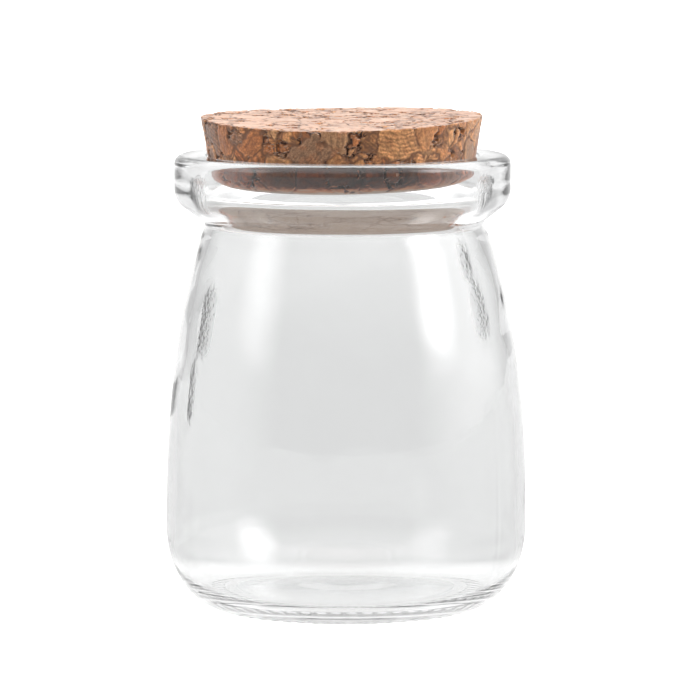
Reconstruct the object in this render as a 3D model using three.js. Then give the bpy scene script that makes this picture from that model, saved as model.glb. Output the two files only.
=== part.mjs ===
// A small clear glass jar with a thick collar round its mouth, shut by a tapered stopper of pressed cork.
// Millimetres, +Z up. The origin is the middle of the circle on which the jar stands.

import * as THREE from 'three';
import { mergeVertices } from 'three/addons/utils/BufferGeometryUtils.js';

// Jar, outside
const BODY_RADIUS = 29;
const JAR_HEIGHT = 73;
const COLLAR_RADIUS = 27;
const COLLAR_TOP_ROUND = 1.5;
const COLLAR_UNDER_ROUND = 3.9;
const COLLAR_UNDER_SLOPE = THREE.MathUtils.degToRad(36);
const NECK_RADIUS = 22.35;
const NECK_TOP = 62.3;
const NECK_ROUND = 1.5;
const SHOULDER_START = 14;
const SHOULDER_POWER = 2.36;
const HEEL_RUN = 9.4;
const HEEL_RISE = 13.2;

// Jar, underside: a flat ring to stand on, round a shallow hollow
const FOOT_RING_WIDTH = 2.2;
const HOLLOW_DEPTH = 1.4;

// Jar, inside: the floor is thinnest at its edge and domed over the hollow
const BASE_THICKNESS = 2.4;
const FLOOR_RADIUS = 20.8;
const FLOOR_CROWN = 2;
const WALL = 1.35;
const NECK_WALL = 1.65;
const INNER_HEEL_RISE = 9;
const LIP_BORE_RADIUS = 21.65;
const LIP_ROUND = 0.9;

// Stopper
const CORK_TOP_RADIUS = 22.4;
const CORK_BOTTOM_RADIUS = 20.5;
const CORK_HEIGHT = 10.75;
const CORK_EDGE = 0.35;
const CORK_TOP_Z = 78.9;
const CORK_LEAN_FORWARD = THREE.MathUtils.degToRad(1.2);
const CORK_LEAN_LEFT = THREE.MathUtils.degToRad(0.8);

const JAR_SEGMENTS = 72;
const CORK_SEGMENTS = 64;

// Steps along each stretch of the jar's section
const HOLLOW_STEPS = 4;
const HEEL_STEPS = 7;
const BODY_STEPS = 7;
const NECK_FILLET_STEPS = 3;
const UNDER_ROUND_STEPS = 5;
const TOP_ROUND_STEPS = 4;
const LIP_STEPS = 3;
const INNER_HEEL_STEPS = 5;
const FLOOR_STEPS = 3;

const point = (radius, height) => new THREE.Vector2(radius, height);

// Points of an elliptic arc between two angles, both ends included.
function arc(centreR, centreZ, radiusR, radiusZ, from, to, steps) {
  const points = [];
  for (let i = 0; i <= steps; i++) {
    const angle = from + ((to - from) * i) / steps;
    points.push(point(centreR + radiusR * Math.cos(angle), centreZ + radiusZ * Math.sin(angle)));
  }
  return points;
}

// How far up the shoulder a height is: 0 where it starts, 1 at the neck.
function shoulderRise(z) {
  return Math.max(0, (z - SHOULDER_START) / (NECK_TOP - SHOULDER_START));
}

// The body's outer radius from the heel to the neck: nearly upright at first, then pulling in ever faster.
function bodyRadius(z) {
  return BODY_RADIUS - (BODY_RADIUS - NECK_RADIUS) * shoulderRise(z) ** SHOULDER_POWER;
}

// The body's wall grows a little thicker towards the neck.
function wallThickness(z) {
  return WALL + (NECK_WALL - WALL) * shoulderRise(z) ** 2;
}

// Points up the body between two heights, given the radius at each height.
function wallLine(radiusAt, from, to, steps) {
  const points = [];
  for (let i = 0; i <= steps; i++) {
    const z = from + ((to - from) * i) / steps;
    points.push(point(radiusAt(z), z));
  }
  return points;
}

// The collar stands out from the neck on a sloping, rounded underside, and is upright above that.
function collarOutline() {
  const slope = COLLAR_UNDER_SLOPE;
  const turn = Math.PI / 2 - slope;
  const neckTangent = NECK_ROUND * Math.tan(turn / 2);
  const neckFillet = arc(
    NECK_RADIUS + NECK_ROUND, NECK_TOP - neckTangent, NECK_ROUND, NECK_ROUND,
    Math.PI, Math.PI - turn, NECK_FILLET_STEPS,
  );
  const cornerZ = NECK_TOP + (COLLAR_RADIUS - NECK_RADIUS) * Math.tan(slope);
  const cornerTangent = COLLAR_UNDER_ROUND * Math.tan(turn / 2);
  const underRound = arc(
    COLLAR_RADIUS - COLLAR_UNDER_ROUND, cornerZ + cornerTangent, COLLAR_UNDER_ROUND, COLLAR_UNDER_ROUND,
    -turn, 0, UNDER_ROUND_STEPS,
  );
  const topRound = arc(
    COLLAR_RADIUS - COLLAR_TOP_ROUND, JAR_HEIGHT - COLLAR_TOP_ROUND, COLLAR_TOP_ROUND, COLLAR_TOP_ROUND,
    0, Math.PI / 2, TOP_ROUND_STEPS,
  );
  return [...neckFillet, ...underRound, ...topRound];
}

// Half of the jar's section, as one loop: underside, outside, lip, inside and floor, from axis to axis.
function jarProfile() {
  const footOuter = BODY_RADIUS - HEEL_RUN;
  const footInner = footOuter - FOOT_RING_WIDTH;
  const underside = arc(0, 0, footInner, HOLLOW_DEPTH, Math.PI / 2, 0, HOLLOW_STEPS);
  const heel = arc(footOuter, HEEL_RISE, HEEL_RUN, HEEL_RISE, -Math.PI / 2, 0, HEEL_STEPS);
  const bodyStep = (NECK_TOP - HEEL_RISE) / (BODY_STEPS + 1);
  const body = wallLine(bodyRadius, HEEL_RISE + bodyStep, NECK_TOP - bodyStep / 3, BODY_STEPS);
  const lip = arc(
    LIP_BORE_RADIUS + LIP_ROUND, JAR_HEIGHT - LIP_ROUND, LIP_ROUND, LIP_ROUND,
    Math.PI / 2, Math.PI, LIP_STEPS,
  );
  const innerRadius = (z) => bodyRadius(z) - wallThickness(z);
  const innerHeelTop = BASE_THICKNESS + INNER_HEEL_RISE;
  const inside = wallLine(innerRadius, NECK_TOP, innerHeelTop, BODY_STEPS);
  const innerHeel = arc(
    FLOOR_RADIUS, innerHeelTop, innerRadius(innerHeelTop) - FLOOR_RADIUS, INNER_HEEL_RISE,
    0, -Math.PI / 2, INNER_HEEL_STEPS,
  ).slice(1);
  const floor = [];
  for (let i = 1; i <= FLOOR_STEPS; i++) {
    const r = FLOOR_RADIUS * (1 - i / FLOOR_STEPS);
    floor.push(point(r, BASE_THICKNESS + FLOOR_CROWN * (1 - (r / FLOOR_RADIUS) ** 2)));
  }
  return [...underside, ...heel, ...body, ...collarOutline(), ...lip, ...inside, ...innerHeel, ...floor];
}

// Half of the stopper's section: a frustum, widest at the top, with its edges just broken.
function corkProfile() {
  return [
    point(0, 0),
    point(CORK_BOTTOM_RADIUS - CORK_EDGE, 0),
    point(CORK_BOTTOM_RADIUS, CORK_EDGE),
    point(CORK_TOP_RADIUS, CORK_HEIGHT - CORK_EDGE),
    point(CORK_TOP_RADIUS - CORK_EDGE, CORK_HEIGHT),
    point(0, CORK_HEIGHT),
  ];
}

// Turns a half section round the Z axis into one closed mesh.
function revolve(profile, segments) {
  const lathe = new THREE.LatheGeometry(profile, segments);
  lathe.deleteAttribute('normal');
  lathe.deleteAttribute('uv');
  lathe.rotateX(Math.PI / 2);
  const merged = mergeVertices(lathe, 1e-4);
  const index = merged.getIndex().array;
  const kept = [];
  for (let i = 0; i < index.length; i += 3) {
    const [a, b, c] = [index[i], index[i + 1], index[i + 2]];
    if (a !== b && b !== c && c !== a) kept.push(a, b, c);
  }
  merged.setIndex(kept);
  merged.computeVertexNormals();
  return merged;
}

function glassJar() {
  const material = new THREE.MeshStandardMaterial({
    color: 0xe6eaea, roughness: 0.03, metalness: 0, transparent: true, opacity: 0.35,
  });
  const jar = new THREE.Mesh(revolve(jarProfile(), JAR_SEGMENTS), material);
  jar.name = 'glass_jar';
  return jar;
}

function corkStopper() {
  const material = new THREE.MeshStandardMaterial({ color: 0xb58a60, roughness: 0.85, metalness: 0 });
  const cork = new THREE.Mesh(revolve(corkProfile(), CORK_SEGMENTS), material);
  cork.name = 'cork_stopper';
  cork.position.z = -CORK_HEIGHT;
  return cork;
}

const leaningCork = new THREE.Group();
leaningCork.position.z = CORK_TOP_Z;
leaningCork.rotation.set(CORK_LEAN_FORWARD, -CORK_LEAN_LEFT, 0);
leaningCork.add(corkStopper());

const jarWithCork = new THREE.Group();
jarWithCork.add(glassJar(), leaningCork);

export default jarWithCork;
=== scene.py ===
import math

import bpy
import numpy as np
from mathutils import Euler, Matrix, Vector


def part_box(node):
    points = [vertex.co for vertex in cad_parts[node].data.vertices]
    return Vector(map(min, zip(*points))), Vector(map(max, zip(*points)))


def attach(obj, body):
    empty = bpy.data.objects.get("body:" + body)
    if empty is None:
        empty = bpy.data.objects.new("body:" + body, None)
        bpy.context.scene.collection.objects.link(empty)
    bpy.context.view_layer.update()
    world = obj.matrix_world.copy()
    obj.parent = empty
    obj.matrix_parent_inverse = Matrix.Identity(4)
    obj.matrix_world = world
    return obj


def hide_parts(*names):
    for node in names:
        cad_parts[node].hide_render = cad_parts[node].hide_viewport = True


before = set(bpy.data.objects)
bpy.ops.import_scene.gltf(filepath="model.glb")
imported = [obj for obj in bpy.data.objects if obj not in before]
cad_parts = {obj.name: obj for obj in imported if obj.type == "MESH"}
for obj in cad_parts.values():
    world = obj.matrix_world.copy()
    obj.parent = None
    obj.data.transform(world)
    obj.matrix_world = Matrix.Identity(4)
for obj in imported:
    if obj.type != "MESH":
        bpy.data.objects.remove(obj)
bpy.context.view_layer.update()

# The jar: one piece of clear glass, pressed and blown in a mould that opens in two halves, with a ring mould
# for the thick collar. Its walls are a little uneven inside, where no mould touches them. It stands on a
# flat ring round a shallow hollow, with a row of small ridges just outside the ring.

mm = 0.001
jar_low, jar_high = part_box("glass_jar")
body_radius = (jar_high.x - jar_low.x) / 2
jar_height = jar_high.z

collar_radius = 27.0 * mm
collar_top_round = 1.5 * mm
collar_under_round = 3.9 * mm
collar_under_slope = math.radians(36)
neck_radius = 22.35 * mm
neck_top = 62.3 * mm
neck_round = 1.5 * mm
shoulder_start = 14.0 * mm
shoulder_power = 2.36
heel_run = 9.4 * mm
heel_rise = 13.2 * mm
ridges_end = math.radians(-66)
foot_ring_width = 2.2 * mm
hollow_depth = 1.4 * mm
hollow_power = 2.5
dimple_radius = 8.2 * mm
dimple_flat_share = 0.62
dimple_depth = 0.35 * mm

base_thickness = 2.4 * mm
floor_radius = 20.8 * mm
floor_crown = 2.0 * mm
wall = 1.35 * mm
neck_wall = 1.65 * mm
inner_heel_rise = 9.0 * mm
lip_bore_radius = 21.65 * mm
lip_round = 0.9 * mm

ridge_count = 56
ridge_from = 19.6 * mm
ridge_to = 22.6 * mm
ridge_fade = 0.5 * mm
ridge_lean = 1.0
groove_depth = 0.35 * mm
turns = ridge_count * 8

ring_seam_height = 59.2 * mm
ring_seam_breadth = 0.28 * mm
ring_seam_depth = 0.10 * mm
upright_seam_turn = math.radians(56)
upright_seam_depth = 0.02 * mm

ripple_count = 26
ripple_depth = 0.022 * mm
side_ripple_depth = 0.012 * mm
thin_depth = 0.20 * mm
thin_width = 1.9 * mm
seen_from = 0.1
wrinkle_roughness = 0.5
crease_scale = 1300
crease_strength = 0.75
crease_distance = 0.3 * mm
peel_scale = 260
peel_strength = 0.25
peel_distance = 0.04 * mm
body_sway = 0.14 * mm
collar_shift = -0.48 * mm

# Each thin place has its turn from +X in degrees, its height, its breadth as a share of thin_width, its half
# height, and its depth as a share of thin_depth.
thin_places = [
    (-148, 47 * mm, 1.1, 6 * mm, 1.0),
    (-152, 36 * mm, 0.7, 5 * mm, 0.7),
    (-34, 49 * mm, 1.1, 5 * mm, 1.0),
    (-37, 57 * mm, 0.8, 4 * mm, 0.8),
    (-158, 68.4 * mm, 1.1, 1.5 * mm, 3.0),
    (-23, 68.8 * mm, 1.1, 1.5 * mm, 3.0),
]


def smooth_step(low, high, value):
    t = np.clip((value - low) / (high - low), 0.0, 1.0)
    return t * t * (3.0 - 2.0 * t)


def ellipse_arc(centre, radii, start, stop, steps):
    """Points of an elliptic arc in the half section, as rows of radius and height."""
    angle = np.linspace(start, stop, steps + 1)
    return np.column_stack([centre[0] + radii[0] * np.cos(angle), centre[1] + radii[1] * np.sin(angle)])


def shoulder_rise(z):
    return np.clip((z - shoulder_start) / (neck_top - shoulder_start), 0.0, None)


def body_radius_at(z):
    return body_radius - (body_radius - neck_radius) * shoulder_rise(z) ** shoulder_power


def wall_at(z):
    return wall + (neck_wall - wall) * shoulder_rise(z) ** 2


def base_outline():
    """The underside's hollow with its dimple, the flat ring, the zone of ridges and the rounded heel."""
    foot_outer = body_radius - heel_run
    foot_inner = foot_outer - foot_ring_width
    r = np.linspace(0.0, foot_inner, num=24)
    hollow = hollow_depth * (1 - (r / foot_inner) ** hollow_power)
    hollow += dimple_depth * (1 - smooth_step(dimple_flat_share * dimple_radius, dimple_radius, r))
    underside = np.column_stack([r, hollow])
    ring_r = np.linspace(foot_inner, foot_outer, num=7)[1:-1]
    ring = np.column_stack([ring_r, np.zeros(len(ring_r))])
    centre = (foot_outer, heel_rise)
    radii = (heel_run, heel_rise)
    ridges = ellipse_arc(centre, radii, -math.pi / 2, ridges_end, steps=14)
    heel = ellipse_arc(centre, radii, ridges_end, 0, steps=20)[1:]
    return [underside, ring, ridges, heel]


def collar_outline():
    """The collar stands out from the neck on a sloping, rounded underside, and is upright above that."""
    turn = math.pi / 2 - collar_under_slope
    neck_tangent = neck_round * math.tan(turn / 2)
    fillet_centre = (neck_radius + neck_round, neck_top - neck_tangent)
    fillet = ellipse_arc(fillet_centre, (neck_round, neck_round), math.pi, math.pi - turn, steps=8)
    corner_z = neck_top + (collar_radius - neck_radius) * math.tan(collar_under_slope)
    corner_tangent = collar_under_round * math.tan(turn / 2)
    under_centre = (collar_radius - collar_under_round, corner_z + corner_tangent)
    under = ellipse_arc(under_centre, (collar_under_round, collar_under_round), -turn, 0, steps=12)
    side_z = np.linspace(under[-1, 1], jar_height - collar_top_round, num=6)[1:-1]
    side = np.column_stack([np.full(len(side_z), collar_radius), side_z])
    top_centre = (collar_radius - collar_top_round, jar_height - collar_top_round)
    top = ellipse_arc(top_centre, (collar_top_round, collar_top_round), 0, math.pi / 2, steps=10)
    return [fillet, under, side, top]


def lip_and_bore():
    """The flat rim, the lip's rounded inner edge, and the bore, which narrows down to the neck."""
    rim_r = np.linspace(collar_radius - collar_top_round, lip_bore_radius + lip_round, num=7)[1:-1]
    rim = np.column_stack([rim_r, np.full(len(rim_r), jar_height)])
    lip_centre = (lip_bore_radius + lip_round, jar_height - lip_round)
    lip = ellipse_arc(lip_centre, (lip_round, lip_round), math.pi / 2, math.pi, steps=8)
    neck_inner = neck_radius - neck_wall
    z = np.linspace(jar_height - lip_round, neck_top, num=12)[1:-1]
    widening = smooth_step(neck_top, jar_height - lip_round, z)
    bore = np.column_stack([neck_inner + (lip_bore_radius - neck_inner) * widening, z])
    return [rim, lip, bore]


def jar_inside():
    """The inside wall from the neck down, the rounded inner heel and the domed floor."""
    inner_heel_top = base_thickness + inner_heel_rise
    z = np.linspace(neck_top, inner_heel_top, num=34)
    inside = np.column_stack([body_radius_at(z) - wall_at(z), z])
    inner_heel_radii = (inside[-1, 0] - floor_radius, inner_heel_rise)
    inner_heel = ellipse_arc((floor_radius, inner_heel_top), inner_heel_radii, 0, -math.pi / 2, steps=20)[1:]
    r = np.linspace(floor_radius, 0.0, num=14)[1:]
    floor = np.column_stack([r, base_thickness + floor_crown * (1 - (r / floor_radius) ** 2)])
    return [inside, inner_heel, floor]


def jar_section():
    """The jar's half section: from the axis up the outside, over the lip and down inside to the floor."""
    z = np.linspace(heel_rise, neck_top - 2.0 * mm, num=34)[1:]
    body = np.column_stack([body_radius_at(z), z])
    outside = np.vstack([*base_outline(), body, *collar_outline()])
    inside = np.vstack([*lip_and_bore(), *jar_inside()])
    return np.vstack([outside, inside]), len(outside)


def ridge_grooves(r, z, angle, outside):
    """How far the grooves between the heel's small curved ridges are sunk into it."""
    zone = smooth_step(ridge_from, ridge_from + ridge_fade, r)
    zone = zone * (1 - smooth_step(ridge_to - ridge_fade, ridge_to, r))
    zone = zone * outside * (z < 3 * mm)
    lean = ((r - ridge_from) / (ridge_to - ridge_from)) ** 2 * ridge_lean
    groove = 1 - smooth_step(-0.6, 0.7, np.cos(ridge_count * angle + lean))
    return groove_depth * groove * zone


def mould_seams(z):
    """The seam between the ring mould and the body mould, and the two upright seams."""
    ring_seam = np.exp(-(((z - ring_seam_height) / ring_seam_breadth) ** 2)) * ring_seam_depth
    seam_step = round(upright_seam_turn / (2 * math.pi) * turns)
    upright = np.zeros(turns)
    upright[[seam_step - turns // 4, seam_step + turns // 4]] = upright_seam_depth
    seam_zone = smooth_step(4 * mm, 8 * mm, z) * (1 - smooth_step(jar_height - 1.2 * mm, jar_height, z))
    return ring_seam + upright[None, :] * seam_zone


def wall_ripple(z, angle):
    """How far the inside wall wanders: a few hundredths of a millimetre, and more at the left and right."""
    dice = np.random.default_rng(7)
    ripple = np.zeros_like(z)
    for _ in range(ripple_count):
        waves = dice.integers(2, 15)
        pitch = dice.uniform(9, 30) * mm
        phase = dice.uniform(0, 2 * math.pi, 2)
        ring_wave = np.cos(waves * angle + phase[0])
        ripple += ring_wave * np.cos(2 * math.pi * z / pitch + phase[1]) / waves ** 0.5
    at_sides = smooth_step(0.66, 0.9, np.abs(np.cos(angle))) * smooth_step(26 * mm, 40 * mm, z)
    return ripple * (ripple_depth + side_ripple_depth * at_sides)


def jar_vertices(section, outside_count):
    """Turns the section round the axis and adds what the moulds and the glass itself leave uneven."""
    angle = (np.arange(turns) / turns * 2 * math.pi)[None, :]
    r = np.repeat(section[:, 0][:, None], turns, axis=1)
    z = np.repeat(section[:, 1][:, None], turns, axis=1)
    outside = (np.arange(len(section)) < outside_count)[:, None]
    z = z + ridge_grooves(r, z, angle, outside)
    r = r + outside * mould_seams(z)
    calmer_neck = 1 - smooth_step(56 * mm, 68 * mm, z) * 0.6
    inside_zone = (~outside) * smooth_step(10 * mm, 22 * mm, z) * calmer_neck
    r = r + inside_zone * wall_ripple(z, angle)

    # At the left and right the glass ran thinner in places, and its skin is a little wrinkled there.
    wrinkled = np.zeros_like(r)
    for turn, height, breadth, half_height, share in thin_places:
        across = np.angle(np.exp(1j * (angle - math.radians(turn)))) * r / (breadth * thin_width)
        along = (z - height) / half_height
        patch = inside_zone * share * np.exp(-across ** 2 - along ** 4)
        r = r + patch * thin_depth
        wrinkled = np.maximum(wrinkled, patch)

    # The body bows a little to the right, and the collar sits a little to the left.
    sway = body_sway * np.sin(np.clip(z / (55 * mm), 0, 1) * math.pi)
    sway = sway + collar_shift * smooth_step(58 * mm, 66 * mm, z)
    return np.stack([r * np.cos(angle) + sway, r * np.sin(angle), z], axis=2), wrinkled


def lathe_mesh(name, rings):
    """A closed mesh from rings of points, whose first and last rings are single points on the axis."""
    count, around, _ = rings.shape
    inner = rings[1:-1].reshape(-1, 3)
    vertices = np.vstack([inner, rings[0, :1], rings[-1, :1]])
    first = len(inner)
    last = first + 1
    here = np.arange(around)
    ahead = (here + 1) % around
    faces = [(first, int(b), int(a)) for a, b in zip(here, ahead)]
    for ring in range(count - 3):
        low = ring * around
        high = low + around
        faces += [(int(low + a), int(low + b), int(high + b), int(high + a)) for a, b in zip(here, ahead)]
    top = (count - 3) * around
    faces += [(int(top + a), int(top + b), last) for a, b in zip(here, ahead)]
    mesh = bpy.data.meshes.new(name)
    mesh.from_pydata(vertices.tolist(), [], faces)
    mesh.polygons.foreach_set("use_smooth", [True] * len(mesh.polygons))
    mesh.update()
    return mesh


def add_point_values(mesh, name, ring_values):
    """Stores a value for each point of a lathe mesh. The two points on the axis get 0."""
    values = np.append(ring_values[1:-1].ravel(), [0.0, 0.0]).astype(np.float32)
    mesh.attributes.new(name, "FLOAT", "POINT").data.foreach_set("value", values)


def set_inputs(tree, node, inputs):
    """Sets a node's inputs to plain values, or links them to other nodes' outputs."""
    for name, value in inputs.items():
        if isinstance(value, bpy.types.NodeSocket):
            tree.links.new(value, node.inputs[name])
        else:
            node.inputs[name].default_value = value


def add_node(tree, kind, inputs=None, **settings):
    """A new node with its settings and its inputs."""
    node = tree.nodes.new(kind)
    for name, value in settings.items():
        setattr(node, name, value)
    set_inputs(tree, node, inputs or {})
    return node


section, outside_count = jar_section()
jar_rings, wrinkled = jar_vertices(section, outside_count)
jar = bpy.data.objects.new("jar_glass", lathe_mesh("jar_glass", jar_rings))
bpy.context.scene.collection.objects.link(jar)
add_point_values(jar.data, "wrinkled", wrinkled)

# The glass has a faint swell like orange peel all over. In the wrinkled places it is creased and half matt.
clear_glass = bpy.data.materials.new("clear_moulded_glass")
clear_glass.use_nodes = True
tree = clear_glass.node_tree
place = add_node(tree, "ShaderNodeTexCoord").outputs["Object"]
peel = add_node(tree, "ShaderNodeTexNoise", {"Vector": place, "Scale": peel_scale, "Detail": 1})
swell_inputs = {"Strength": peel_strength, "Distance": peel_distance, "Height": peel.outputs["Fac"]}
swell = add_node(tree, "ShaderNodeBump", swell_inputs)
skin = add_node(tree, "ShaderNodeAttribute", attribute_name="wrinkled").outputs["Fac"]
matt_limits = {"Value": skin, "From Min": seen_from, "To Max": wrinkle_roughness}
matt = add_node(tree, "ShaderNodeMapRange", matt_limits)
creased_limits = {"Value": skin, "From Min": seen_from, "To Max": crease_strength}
creased = add_node(tree, "ShaderNodeMapRange", creased_limits)
creases = add_node(tree, "ShaderNodeTexNoise", {"Vector": place, "Scale": crease_scale, "Detail": 3})
crinkle = add_node(tree, "ShaderNodeBump", {
    "Strength": creased.outputs["Result"],
    "Distance": crease_distance,
    "Height": creases.outputs["Fac"],
    "Normal": swell.outputs["Normal"],
})
set_inputs(tree, tree.nodes["Principled BSDF"], {
    "Base Color": (0.868, 0.872, 0.872, 1),
    "Metallic": 0.0,
    "Roughness": matt.outputs["Result"],
    "IOR": 1.5,
    "Transmission Weight": 1.0,
    "Normal": crinkle.outputs["Normal"],
})
jar.data.materials.append(clear_glass)
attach(jar, "root")
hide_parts("glass_jar")

# The stopper: a tapered plug turned from a board of cork granules pressed with glue, sanded smooth. Granules
# show as patches of differing brown, some with growth lines, with dark gaps where they do not meet and chips
# along the rims.

cork_top_radius = 22.6 * mm
cork_bottom_radius = 20.65 * mm
cork_height = 10.5 * mm
cork_edge = 0.12 * mm
cork_low_run = 3.6 * mm
cork_low_rise = 2.9 * mm
cork_top_z = 78.65 * mm
cork_lean_forward = math.radians(1.2)
cork_lean_left = math.radians(0.8)
cork_off_centre = -0.62 * mm
cork_wing_left = 0.75 * mm
cork_wing_right = 0.40 * mm
cork_turns = 480

granule_size = 5.0 * mm
crumb_ratio = 2.3
whole_share = 0.50
gap_depth = 0.5 * mm
chip_depth = 0.8 * mm
chip_near = 0.2 * mm
chip_far = 1.3 * mm
edge_sink = 0.10 * mm
grit_height = 0.20 * mm
grit_middle = 0.11 * mm


def cork_section_points():
    """Half of the stopper's section: a frustum, widest at the top, with a worn, rounded lower edge."""
    taper = (cork_top_radius - cork_bottom_radius) / cork_height
    low_corner = cork_bottom_radius + taper * cork_low_rise
    bottom_r = np.linspace(0, low_corner - cork_low_run, num=64)
    bottom = np.column_stack([bottom_r, np.zeros(len(bottom_r))])
    low_edge = ellipse_arc(
        (low_corner - cork_low_run, cork_low_rise), (cork_low_run, cork_low_rise),
        -math.pi / 2, 0, steps=14)[1:-1]
    height = np.linspace(cork_low_rise, cork_height - cork_edge, num=36)
    side = np.column_stack([cork_bottom_radius + taper * height, height])
    top_r = np.linspace(cork_top_radius - cork_edge, 0, num=64)
    top = np.column_stack([top_r, np.full(len(top_r), cork_height)])
    return np.vstack([bottom, low_edge, side, top])


def cork_vertices(section):
    """Turns the section round the axis. The top has warped: it stands higher at its left and right."""
    angle = np.arange(cork_turns) / cork_turns * 2 * math.pi
    x = section[:, :1] * np.cos(angle)[None, :]
    y = section[:, :1] * np.sin(angle)[None, :]
    z = np.repeat(section[:, 1:], cork_turns, axis=1) - cork_height
    wing = np.where(x < 0, cork_wing_left, cork_wing_right) * (x / cork_top_radius) ** 2
    z = z + wing * smooth_step(-0.6 * cork_height, 0.0, z)
    lean = Euler((cork_lean_forward, -cork_lean_left, 0)).to_matrix()
    return np.stack([x, y, z], axis=2) @ np.array(lean).T + np.array([cork_off_centre, 0, cork_top_z])


def add_math(tree, operation, *values):
    """A maths node, whose inputs are sockets or plain numbers."""
    return add_node(tree, "ShaderNodeMath", dict(enumerate(values)), operation=operation).outputs["Value"]


def add_scaled(tree, vector, scale):
    """A vector times a number."""
    node = add_node(tree, "ShaderNodeVectorMath", {0: vector, "Scale": scale}, operation="SCALE")
    return node.outputs["Vector"]


def add_range(tree, value, low, high, start, stop):
    """Turns low..high smoothly into start..stop."""
    limits = {"Value": value, "From Min": low, "From Max": high, "To Min": start, "To Max": stop}
    return add_node(tree, "ShaderNodeMapRange", limits, interpolation_type="SMOOTHSTEP").outputs["Result"]


def add_noise(tree, place, scale, detail=2.0, roughness=0.5):
    """A noise node."""
    inputs = {"Vector": place, "Scale": scale, "Detail": detail, "Roughness": roughness}
    return add_node(tree, "ShaderNodeTexNoise", inputs)


def add_mix(tree, factor, colour_a, colour_b, blend="MIX"):
    """A blend of two colours. Inputs 6 and 7 and output 2 are the node's colour sockets."""
    inputs = {"Factor": factor, 6: colour_a, 7: colour_b}
    return add_node(tree, "ShaderNodeMix", inputs, data_type="RGBA", blend_type=blend).outputs[2]


def granules(tree, position):
    """Adds the pattern of pressed granules to a node tree. It gives each granule's random numbers, how far a
    point is from its granule's edge, in granule sizes, and how open the gap there is."""
    grain_place = add_scaled(tree, position, 1 / granule_size)
    wander = add_noise(tree, grain_place, 1.6)
    bent_inputs = {0: wander.outputs["Color"], 1: (0.75, 0.75, 0.75), 2: grain_place}
    bent = add_node(tree, "ShaderNodeVectorMath", bent_inputs, operation="MULTIPLY_ADD").outputs["Vector"]
    cells = {}
    for name, scale in (("large", 1.0), ("small", crumb_ratio)):
        inputs = {"Vector": bent, "Scale": scale}
        cell = add_node(tree, "ShaderNodeTexVoronoi", inputs)
        border = add_node(tree, "ShaderNodeTexVoronoi", inputs, feature="DISTANCE_TO_EDGE")
        distance = add_math(tree, "DIVIDE", border.outputs["Distance"], scale)
        cells[name] = (cell.outputs["Color"], distance)

    # Some large granules have crumbled into small ones. Inputs 4 and 5 and output 1 are the vector sockets.
    dice = add_node(tree, "ShaderNodeSeparateXYZ", {"Vector": cells["large"][0]})
    crumbly = add_math(tree, "GREATER_THAN", dice.outputs["X"], whole_share)
    numbers_inputs = {"Factor": crumbly, 4: cells["large"][0], 5: cells["small"][0]}
    numbers = add_node(tree, "ShaderNodeMix", numbers_inputs, data_type="VECTOR").outputs[1]
    nearest = add_math(tree, "MINIMUM", cells["large"][1], cells["small"][1])
    edge = add_node(tree, "ShaderNodeMix", {"Factor": crumbly, "A": cells["large"][1], "B": nearest})
    edge = edge.outputs["Result"]

    # Where the board was pressed loosely, the gaps are wider.
    looseness = add_noise(tree, grain_place, 1.9, 3.0).outputs["Fac"]
    gap_limits = {"Value": looseness, "From Min": 0.50, "From Max": 0.78, "To Min": 0.0, "To Max": 0.065}
    gap_width = add_node(tree, "ShaderNodeMapRange", gap_limits).outputs["Result"]
    gap = add_range(tree, add_math(tree, "SUBTRACT", gap_width, edge), -0.004, 0.012, 0.0, 1.0)
    return numbers, edge, gap


def press_granules(piece):
    """Sinks the gaps between granules, rounds the granules' edges a little and knocks chips off the rims.
    The underside is smoother."""
    tree = bpy.data.node_groups.new("granule_relief", "GeometryNodeTree")
    tree.interface.new_socket("Mesh", in_out="INPUT", socket_type="NodeSocketGeometry")
    tree.interface.new_socket("Mesh", in_out="OUTPUT", socket_type="NodeSocketGeometry")
    source = add_node(tree, "NodeGroupInput")
    place = add_node(tree, "GeometryNodeInputPosition").outputs["Position"]
    outward = add_node(tree, "GeometryNodeInputNormal").outputs["Normal"]
    rim = add_node(tree, "GeometryNodeInputNamedAttribute", {"Name": "near_rim"}).outputs["Attribute"]
    _, edge, gap = granules(tree, place)
    knocks = add_noise(tree, place, 330).outputs["Fac"]
    chip = add_math(tree, "MULTIPLY", add_range(tree, knocks, 0.55, 0.68, 0.0, -chip_depth), rim)
    height = add_math(tree, "MULTIPLY_ADD", gap, -gap_depth, chip)
    height = add_math(tree, "ADD", height, add_range(tree, edge, 0.0, 0.10, -edge_sink, 0.0))
    grit = add_noise(tree, place, 1000, 3.0).outputs["Fac"]
    height = add_math(tree, "ADD", height, add_math(tree, "MULTIPLY_ADD", grit, grit_height, -grit_middle))
    facing = add_node(tree, "ShaderNodeSeparateXYZ", {"Vector": outward}).outputs["Z"]
    height = add_math(tree, "MULTIPLY", height, add_range(tree, facing, -0.95, -0.6, 0.15, 1.0))
    geometry = {"Geometry": source.outputs["Mesh"], "Offset": add_scaled(tree, outward, height)}
    moved = add_node(tree, "GeometryNodeSetPosition", geometry)
    add_node(tree, "NodeGroupOutput", {"Mesh": moved.outputs["Geometry"]})
    piece.modifiers.new("granules", "NODES").node_group = tree
    shaped = bpy.data.meshes.new_from_object(piece.evaluated_get(bpy.context.evaluated_depsgraph_get()))
    piece.modifiers.clear()
    piece.data = shaped


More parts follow.
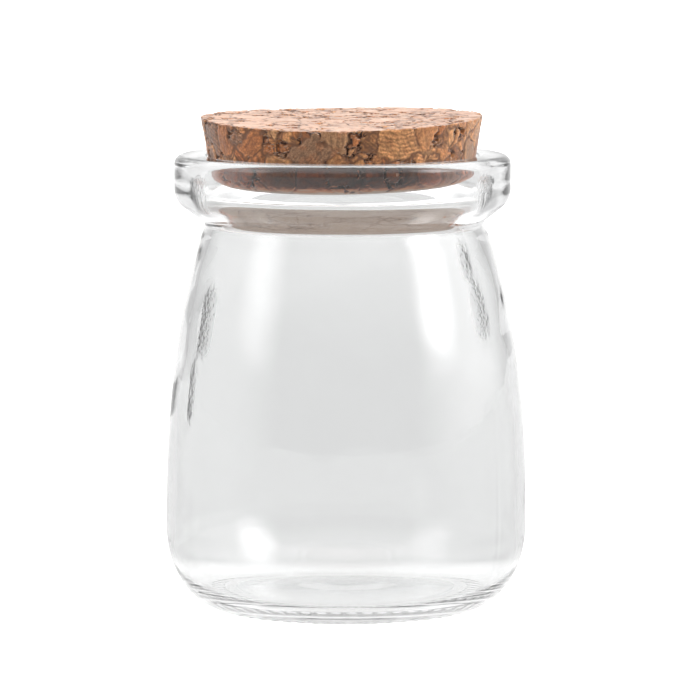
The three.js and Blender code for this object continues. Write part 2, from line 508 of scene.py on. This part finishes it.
cork_section = cork_section_points()
cork = bpy.data.objects.new("cork_plug", lathe_mesh("cork_plug", cork_vertices(cork_section)))
bpy.context.scene.collection.objects.link(cork)
rim_r, rim_z = cork_section[:, 0], cork_section[:, 1]
to_top_rim = np.hypot(rim_r - cork_top_radius, rim_z - cork_height)
to_bottom_rim = np.hypot(rim_r - cork_bottom_radius, rim_z)
near_rim = 1 - smooth_step(chip_near, chip_far, np.minimum(to_top_rim, to_bottom_rim))
add_point_values(cork.data, "near_rim", np.repeat(near_rim[:, None], cork_turns, axis=1))
press_granules(cork)
cork.data.set_sharp_from_angle(angle=math.radians(48))

pressed_cork = bpy.data.materials.new("pressed_cork")
pressed_cork.use_nodes = True
tree = pressed_cork.node_tree
place = add_node(tree, "ShaderNodeTexCoord").outputs["Object"]
numbers, edge, gap = granules(tree, place)
dice = add_node(tree, "ShaderNodeSeparateXYZ", {"Vector": numbers}).outputs
outward = add_node(tree, "ShaderNodeNewGeometry").outputs["True Normal"]
upward = add_node(tree, "ShaderNodeSeparateXYZ", {"Vector": outward}).outputs["Z"]
cut_face = add_range(tree, add_math(tree, "ABSOLUTE", upward), 0.45, 0.9, 0.0, 1.0)
underneath = add_range(tree, upward, -0.9, -0.5, 1.0, 0.0)

# Each granule has its own brown, and its own direction of grain.
granule_browns = [
    (0.00, (0.340, 0.150, 0.056, 1)),
    (0.20, (0.440, 0.205, 0.080, 1)),
    (0.36, (0.310, 0.102, 0.032, 1)),
    (0.50, (0.460, 0.225, 0.092, 1)),
    (0.64, (0.200, 0.080, 0.028, 1)),
    (0.78, (0.380, 0.135, 0.044, 1)),
    (0.90, (0.165, 0.088, 0.052, 1)),
    (1.00, (0.480, 0.245, 0.105, 1)),
]
red_mottle = (0.27, 0.085, 0.026, 1)
tan_mottle = (0.43, 0.21, 0.085, 1)
browns = add_node(tree, "ShaderNodeValToRGB", {"Fac": dice["Y"]})
ramp = browns.color_ramp.elements
ramp[0].color = granule_browns[0][1]
ramp[-1].color = granule_browns[-1][1]
for position, brown in granule_browns[1:-1]:
    ramp.new(position).color = brown
spin = add_scaled(tree, numbers, 2 * math.pi)
turned_inputs = {"Vector": place, "Rotation": spin}
turned = add_node(tree, "ShaderNodeVectorRotate", turned_inputs, rotation_type="EULER_XYZ")
in_mm = add_scaled(tree, turned.outputs["Vector"], 1 / mm)
grain_inputs = {0: in_mm, 1: (0.55, 2.9, 0.9)}
grain_place = add_node(tree, "ShaderNodeVectorMath", grain_inputs, operation="MULTIPLY").outputs["Vector"]
grain = add_noise(tree, grain_place, 1.0, 4.0, 0.65).outputs["Fac"]
speckle = add_noise(tree, place, 2900, 3.0, 0.75).outputs["Fac"]
tone = add_range(tree, grain, 0.30, 0.70, 0.66, 1.34)
tone = add_math(tree, "MULTIPLY", tone, add_range(tree, speckle, 0.32, 0.68, 0.68, 1.32))

# Nearly half of the granules show growth lines, which the sanding of the faces leaves faint.
lines_inputs = {"Vector": in_mm, "Scale": 0.55, "Distortion": 7.0, "Detail": 3.0, "Detail Scale": 0.9}
growth_lines = add_node(tree, "ShaderNodeTexWave", lines_inputs).outputs["Fac"]
growth_lines = add_math(tree, "SUBTRACT", growth_lines, 0.6)
lined = add_math(tree, "GREATER_THAN", dice["Z"], 0.55)
lined = add_math(tree, "MULTIPLY", lined, add_range(tree, cut_face, 0.0, 1.0, 0.5, 0.12))
tone = add_math(tree, "MULTIPLY", tone, add_math(tree, "MULTIPLY_ADD", lined, growth_lines, 1.0))

# Granules are mottled, and a little paler in a band inside their edges.
mottle = add_noise(tree, place, 620, 4.0, 0.65).outputs["Fac"]
redder = add_range(tree, mottle, 0.46, 0.66, 0.0, 0.4)
paler = add_range(tree, mottle, 0.46, 0.30, 0.0, 0.3)
side_colour = add_mix(tree, redder, browns.outputs["Color"], red_mottle)
side_colour = add_mix(tree, paler, side_colour, tan_mottle)
band_start = add_range(tree, edge, 0.05, 0.09, 0.0, 1.0)
band_end = add_range(tree, edge, 0.09, 0.15, 1.0, 0.0)
pale_band = add_math(tree, "MULTIPLY", band_start, band_end)
tone = add_math(tree, "MULTIPLY", tone, add_math(tree, "MULTIPLY_ADD", pale_band, 0.22, 1.0))
side_colour = add_scaled(tree, side_colour, tone)

# The sanded faces are paler and pinker than the sides, partly as sanded cork is and partly as painted light
# and sheen, with small reddish pores. The underside is greyer.
sanded_and_lit_cork = (0.49, 0.28, 0.180)
pale_patch = (0.62, 0.45, 0.35, 1)
pore_brown = (0.27, 0.105, 0.058, 1)
underside_grey = (0.35, 0.26, 0.195, 1)
face_tone = add_range(tree, grain, 0.25, 0.75, 0.86, 1.12)
face_tone = add_math(tree, "MULTIPLY", face_tone, add_range(tree, dice["Y"], 0.0, 1.0, 0.90, 1.08))
# The faces' paler colour: the sanded cork's own, with painted light and sheen.
face_colour = add_scaled(tree, sanded_and_lit_cork, face_tone)
patches = add_range(tree, add_noise(tree, place, 420, 3.0, 0.6).outputs["Fac"], 0.5, 0.68, 0.0, 0.7)
face_colour = add_mix(tree, patches, face_colour, pale_patch)
pore_cells = add_node(tree, "ShaderNodeTexVoronoi", {"Vector": place, "Scale": 760.0, "Randomness": 1.0})
pore_dice = add_node(tree, "ShaderNodeSeparateXYZ", {"Vector": pore_cells.outputs["Color"]}).outputs
pore = add_math(tree, "GREATER_THAN", pore_dice["X"], 0.72)
pore_fade = add_range(tree, pore_cells.outputs["Distance"], 0.28, 0.60, 0.9, 0.0)
pore = add_math(tree, "MULTIPLY", pore, pore_fade)
face_colour = add_mix(tree, pore, face_colour, pore_brown)
face_colour = add_mix(tree, add_math(tree, "MULTIPLY", underneath, 0.85), face_colour, underside_grey)
colour = add_mix(tree, cut_face, side_colour, face_colour)

# Glue lines and gaps are dark, and fainter on the underside.
glue_brown = (0.13, 0.052, 0.022, 1)
gap_brown = (0.045, 0.018, 0.009, 1)
seam_break = add_range(tree, add_noise(tree, place, 480).outputs["Fac"], 0.38, 0.54, 0.2, 1.0)
seam = add_math(tree, "MULTIPLY", add_range(tree, edge, 0.010, 0.070, 0.95, 0.0), seam_break)
shown = add_math(tree, "MULTIPLY_ADD", underneath, -0.6, 1.0)
colour = add_mix(tree, add_math(tree, "MULTIPLY", seam, shown), colour, glue_brown)
colour = add_mix(tree, add_math(tree, "MULTIPLY", gap, shown), colour, gap_brown)

# Below the rim, where the cork is squeezed against the glass, it is darker and redder, as damp cork is. The
# stopper leans forward; its front there is made much darker still with painted shade, for the little light
# that reaches it through the collar.
front_shade_tone = 0.13
damp_sides = 0.72
damp_tint = (1.5, 0.95, 0.6, 1)
axes = add_node(tree, "ShaderNodeSeparateXYZ", {"Vector": place}).outputs
front_y = -0.95 * cork_bottom_radius
side_y = -0.60 * cork_bottom_radius
# Darker towards the front: painted shade on the cork behind the collar, on top of the damp darkening.
damp_and_shade_tone = add_range(tree, axes["Y"], front_y, side_y, front_shade_tone, damp_sides)
pressed_and_shaded = add_range(tree, axes["Z"], jar_height - 2.4 * mm, jar_height - 0.6 * mm, damp_and_shade_tone, 1.0)
pressed_and_shaded = add_math(tree, "MAXIMUM", pressed_and_shaded, cut_face)
# Darkens the band below the rim: damp there, and painted shade at the front.
colour = add_scaled(tree, colour, pressed_and_shaded)
tint_share_where_darkened = add_range(tree, pressed_and_shaded, 0.78, 1.0, 1.0, 0.0)
colour = add_mix(tree, tint_share_where_darkened, colour, add_mix(tree, 1.0, colour, damp_tint, "MULTIPLY"))
bump_height = add_math(tree, "MULTIPLY_ADD", grain, 0.7, speckle)
bump = add_node(tree, "ShaderNodeBump", {"Strength": 0.7, "Distance": 0.10 * mm, "Height": bump_height})
set_inputs(tree, tree.nodes["Principled BSDF"], {
    "Base Color": colour,
    "Roughness": add_range(tree, grain, 0.0, 1.0, 0.45, 0.75),
    "Specular IOR Level": 0.4,
    "Sheen Weight": 0.32,
    "Sheen Roughness": 0.4,
    "Normal": bump.outputs["Normal"],
})
cork.data.materials.append(pressed_cork)
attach(cork, "root")
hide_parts("cork_stopper")

# The floor, the light and the camera: a pale table that glows a little, under even studio light with soft
# lights at the left and right. The room is darker beside the backdrop and behind the camera, but the camera
# itself sees the floor and the backdrop plain and pale. It looks down a little, through a long lens.

gap_tone = 0.62
above_tone = 1.1
low_front_tone = 0.15
floor_front_tone = 0.40
high_front_tone = 0.10
floor_gap_share = 0.6
backdrop_seen = 1.05

# Turns round from the middle of the backdrop, in degrees, over which a tone changes.
gap_starts = (16, 28)
gap_ends = (46, 62)
front_starts = (98, 138)
sides_start = (12, 32)

table_radius = 3.0
table_corners = 96
table_glow = 0.40
table_lit = 0.4
table_seen = 0.8
table_near_tone = 1.24
table_middle_tone = 0.77
table_far_tone = 0.87
near_from = 0.03
near_to = 0.065

# Each soft light has its side, 1 for right and -1 for left, then in degrees its middle as a turn from the
# camera, its half spread, and the heights of its lower and upper edges, and last its strength.
soft_lights = [
    (1, 71, 21, 10, 42, 6.5),
    (-1, 68, 23, 10, 42, 2.3),
    (1, 98, 42, 0, 50, 1.0),
]


def turn_from_backdrop(tree, x, y):
    """The turn round from the middle of the backdrop, the same to the left and to the right."""
    return add_math(tree, "ABSOLUTE", add_math(tree, "ARCTAN2", x, y))


def add_turn_range(tree, turn, low, high, start, stop):
    """As add_range, with the limits in degrees."""
    return add_range(tree, turn, math.radians(low), math.radians(high), start, stop)


def add_height_range(tree, z, low, high, start, stop):
    """As add_range, with the limits in degrees above level, where z is the height of a direction."""
    return add_range(tree, z, math.sin(math.radians(low)), math.sin(math.radians(high)), start, stop)


def room_tone(tree, x, y, gap_share, front_tone):
    """How light the room is in a direction: darker in two gaps beside the backdrop and behind the camera."""
    turn = turn_from_backdrop(tree, x, y)
    into_gap = add_turn_range(tree, turn, *gap_starts, 0.0, 1.0)
    out_of_gap = add_turn_range(tree, turn, *gap_ends, 1.0, 0.0)
    gap = add_math(tree, "MULTIPLY", add_math(tree, "MULTIPLY", into_gap, out_of_gap), gap_share)
    beside = add_math(tree, "MULTIPLY_ADD", gap, gap_tone - 1.0, 1.0)
    front = add_turn_range(tree, turn, *front_starts, 1.0, front_tone)
    return add_math(tree, "MULTIPLY", beside, front)


def soft_light(tree, azimuth, z, side, middle, spread, low, high):
    """How much of a soft light there is in a direction: all at its middle, none past its soft edges."""
    off = add_math(tree, "ABSOLUTE", add_math(tree, "SUBTRACT", azimuth, side * math.radians(middle)))
    across = add_turn_range(tree, off, 0.0, spread, 1.0, 0.0)
    fade_in = add_height_range(tree, z, low - 5, low + 6, 0.0, 1.0)
    fade_out = add_height_range(tree, z, high - 6, high + 8, 1.0, 0.0)
    return add_math(tree, "MULTIPLY", across, add_math(tree, "MULTIPLY", fade_in, fade_out))


floor_mesh = bpy.data.meshes.new("studio_floor")
corner_turns = np.linspace(0, 2 * math.pi, table_corners, endpoint=False)
corners = [(table_radius * math.cos(turn), table_radius * math.sin(turn), 0) for turn in corner_turns]
floor_mesh.from_pydata(corners, [], [tuple(range(table_corners))])
floor = bpy.data.objects.new("studio_floor", floor_mesh)
bpy.context.scene.collection.objects.link(floor)

# The floor's glow follows the room's tones, and is brightest close to the jar. What the room's light gives
# the floor anyway, about table_lit, is taken off it.
floor_paint = bpy.data.materials.new("pale_floor")
floor_paint.use_nodes = True
tree = floor_paint.node_tree
place = add_node(tree, "ShaderNodeTexCoord").outputs["Object"]
split = add_node(tree, "ShaderNodeSeparateXYZ", {"Vector": place}).outputs
tone = room_tone(tree, split["X"], split["Y"], floor_gap_share, floor_front_tone)
x_squared = add_math(tree, "POWER", split["X"], 2.0)
y_squared = add_math(tree, "POWER", split["Y"], 2.0)
reach = add_math(tree, "SQRT", add_math(tree, "ADD", x_squared, y_squared))
away = add_range(tree, reach, near_from, near_to, 0.0, 1.0)
far = add_math(tree, "MULTIPLY", tone, add_range(tree, reach, 0.15, 0.9, table_middle_tone, table_far_tone))
from_near = add_math(tree, "SUBTRACT", far, table_near_tone)
tone = add_math(tree, "MULTIPLY_ADD", away, from_near, table_near_tone)
glow = add_math(tree, "MULTIPLY_ADD", tone, table_glow + table_lit, -table_lit)
by_camera = add_node(tree, "ShaderNodeLightPath").outputs["Is Camera Ray"]
glow = add_math(tree, "MAXIMUM", glow, add_math(tree, "MULTIPLY", by_camera, table_seen))
set_inputs(tree, tree.nodes["Principled BSDF"], {
    "Base Color": (0.42, 0.42, 0.42, 1),
    "Roughness": 0.9,
    "Specular IOR Level": 0.0,
    "Emission Color": (1, 1, 1, 1),
    "Emission Strength": glow,
})
floor_mesh.materials.append(floor_paint)

# The room all round, as the world behind everything.
world = bpy.data.worlds.new("studio")
bpy.context.scene.world = world
world.use_nodes = True
tree = world.node_tree
place = add_node(tree, "ShaderNodeTexCoord").outputs["Generated"]
split = add_node(tree, "ShaderNodeSeparateXYZ", {"Vector": place}).outputs
x, y, z = (split[axis] for axis in "XYZ")
behind_camera = add_range(tree, z, 0.05, 0.40, low_front_tone, high_front_tone)
tone = room_tone(tree, x, y, add_range(tree, z, 0.14, 0.32, 1.0, 0.0), behind_camera)
tone = add_math(tree, "MAXIMUM", tone, add_range(tree, z, 0.40, 0.95, 0.0, 1.0))
round_sides = add_turn_range(tree, turn_from_backdrop(tree, x, y), *sides_start, 0.0, 1.0)
from_above = add_range(tree, z, 0.18, 0.62, 0.0, above_tone)
tone = add_math(tree, "MULTIPLY_ADD", round_sides, from_above, tone)
azimuth = add_math(tree, "ARCTAN2", x, add_math(tree, "MULTIPLY", y, -1.0))
for side, middle, spread, low, high, strength in soft_lights:
    lamp = soft_light(tree, azimuth, z, side, middle, spread, low, high)
    tone = add_math(tree, "MULTIPLY_ADD", lamp, strength, tone)
by_camera = add_node(tree, "ShaderNodeLightPath").outputs["Is Camera Ray"]
seen = add_node(tree, "ShaderNodeMix", {"Factor": by_camera, "A": tone, "B": backdrop_seen})
background = tree.nodes["Background"]
background.inputs["Color"].default_value = (1.0, 1.0, 1.0, 1)
tree.links.new(seen.outputs["Result"], background.inputs["Strength"])

camera_distance = 0.800
camera_height = 0.1303
camera_dip = math.radians(6.34)
camera_turn = math.radians(-0.052)
camera_data = bpy.data.cameras.new("camera")
camera_data.sensor_width = 36.0
camera_data.lens = 257.1
camera_data.clip_start = 0.05
camera_data.clip_end = 30
camera = bpy.data.objects.new("camera", camera_data)
camera.location = (0.0, -camera_distance, camera_height)
camera.rotation_euler = (math.pi / 2 - camera_dip, 0, camera_turn)
bpy.context.scene.collection.objects.link(camera)
bpy.context.scene.camera = camera

scene = bpy.context.scene
scene.view_settings.view_transform = "Standard"
scene.cycles.max_bounces = 20
scene.cycles.transmission_bounces = 20
scene.cycles.glossy_bounces = 10
scene.cycles.blur_glossy = 0.0
